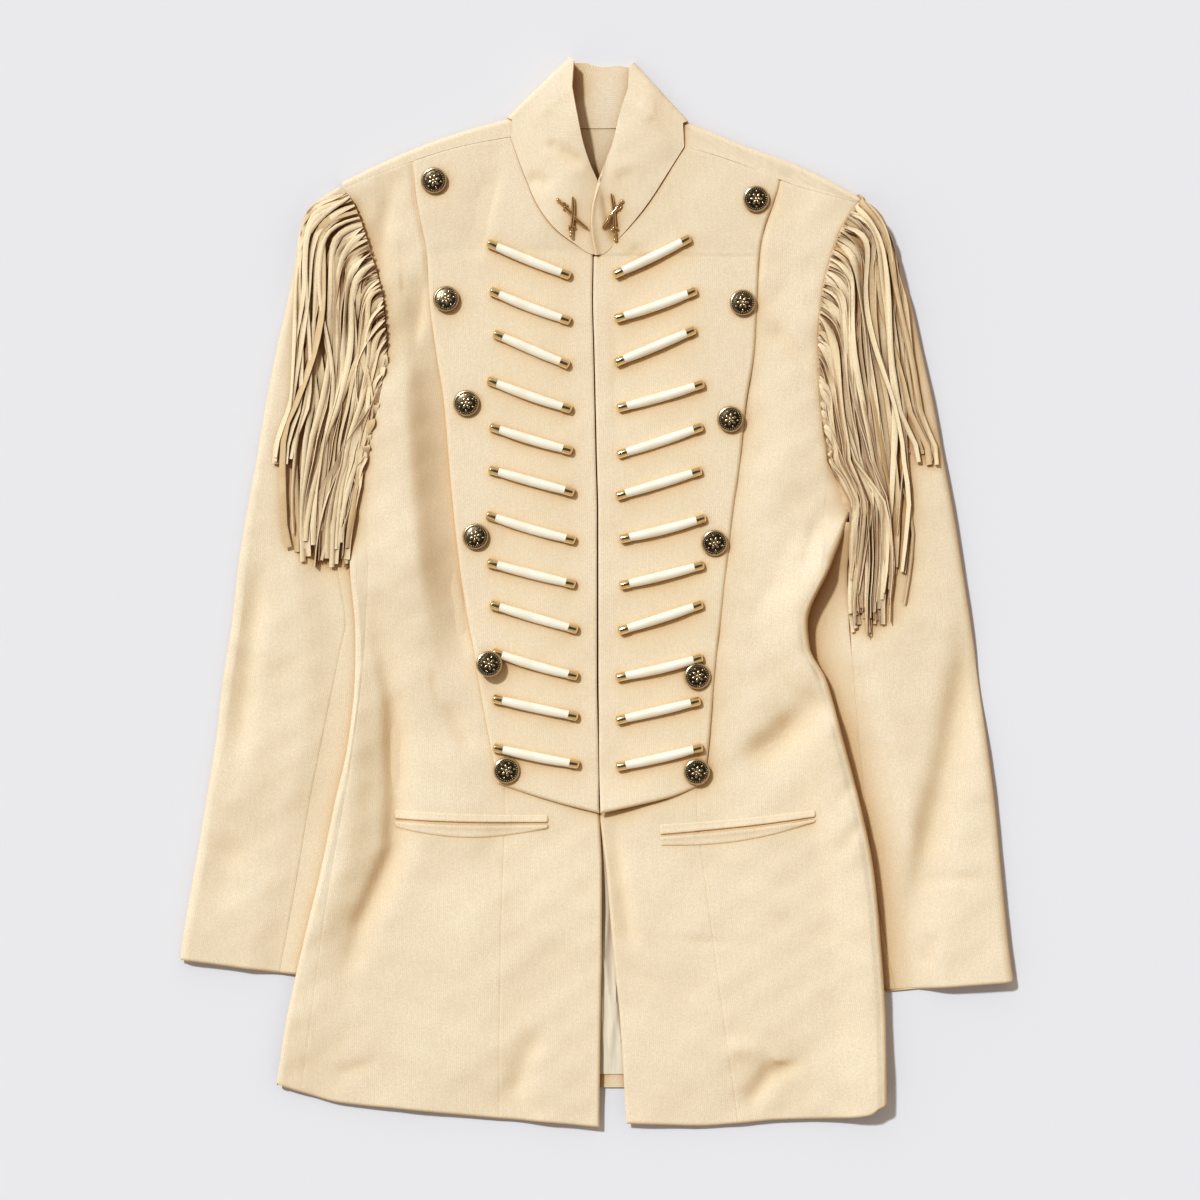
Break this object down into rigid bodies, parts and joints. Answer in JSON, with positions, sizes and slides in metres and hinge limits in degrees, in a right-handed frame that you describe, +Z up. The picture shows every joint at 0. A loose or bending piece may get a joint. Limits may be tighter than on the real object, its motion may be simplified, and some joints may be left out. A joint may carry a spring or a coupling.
{
  "type": "napoleon jacket",
  "caption": "Long napoleon jacket laid flat, with stand collar, bib of bone pipes, shank buttons, crossed sabre pins, welt pockets and suede armhole fringe.",
  "frame": {"origin": "centre of the jacket's outline, on the surface that it lies on", "axes": "+Y towards the collar, +X towards the wearer's left sleeve, +Z up out of the fronts"},
  "size_m": [0.682, 0.8741, 0.0216],
  "materials": {
    "wool": "napped wool twill",
    "satin": "satin",
    "suede": "suede",
    "bone": "polished bone",
    "antique_metal": "antique",
    "steel": "worn polish"
  },
  "bodies": {
    "root": {"back": "wool", "lining": "satin", "collar": "wool", "right_front_centre": "wool", "right_front_side": "wool", "right_side_panel": "wool", "right_upper_sleeve": "wool", "right_under_sleeve": "wool", "right_bib": "wool", "right_pocket_upper_welt": "wool", "right_pocket_lower_welt": "wool", "right_button_1": "antique_metal", "right_button_2": "antique_metal", "right_button_3": "antique_metal", "right_button_4": "antique_metal", "right_button_5": "antique_metal", "right_button_6": "antique_metal", "right_pipe_1": "bone", "right_pipe_2": "bone", "right_pipe_3": "bone", "right_pipe_4": "bone", "right_pipe_5": "bone", "right_pipe_6": "bone", "right_pipe_7": "bone", "right_pipe_8": "bone", "right_pipe_9": "bone", "right_pipe_10": "bone", "right_pipe_11": "bone", "right_pipe_12": "bone", "right_collar_pin": "steel", "right_fringe": "suede", "left_front_centre": "wool", "left_front_side": "wool", "left_side_panel": "wool", "left_upper_sleeve": "wool", "left_under_sleeve": "wool", "left_bib": "wool", "left_pocket_upper_welt": "wool", "left_pocket_lower_welt": "wool", "left_button_1": "antique_metal", "left_button_2": "antique_metal", "left_button_3": "antique_metal", "left_button_4": "antique_metal", "left_button_5": "antique_metal", "left_button_6": "antique_metal", "left_pipe_1": "bone", "left_pipe_2": "bone", "left_pipe_3": "bone", "left_pipe_4": "bone", "left_pipe_5": "bone", "left_pipe_6": "bone", "left_pipe_7": "bone", "left_pipe_8": "bone", "left_pipe_9": "bone", "left_pipe_10": "bone", "left_pipe_11": "bone", "left_pipe_12": "bone", "left_collar_pin": "steel", "left_fringe": "suede"}
  },
  "joints": []
}
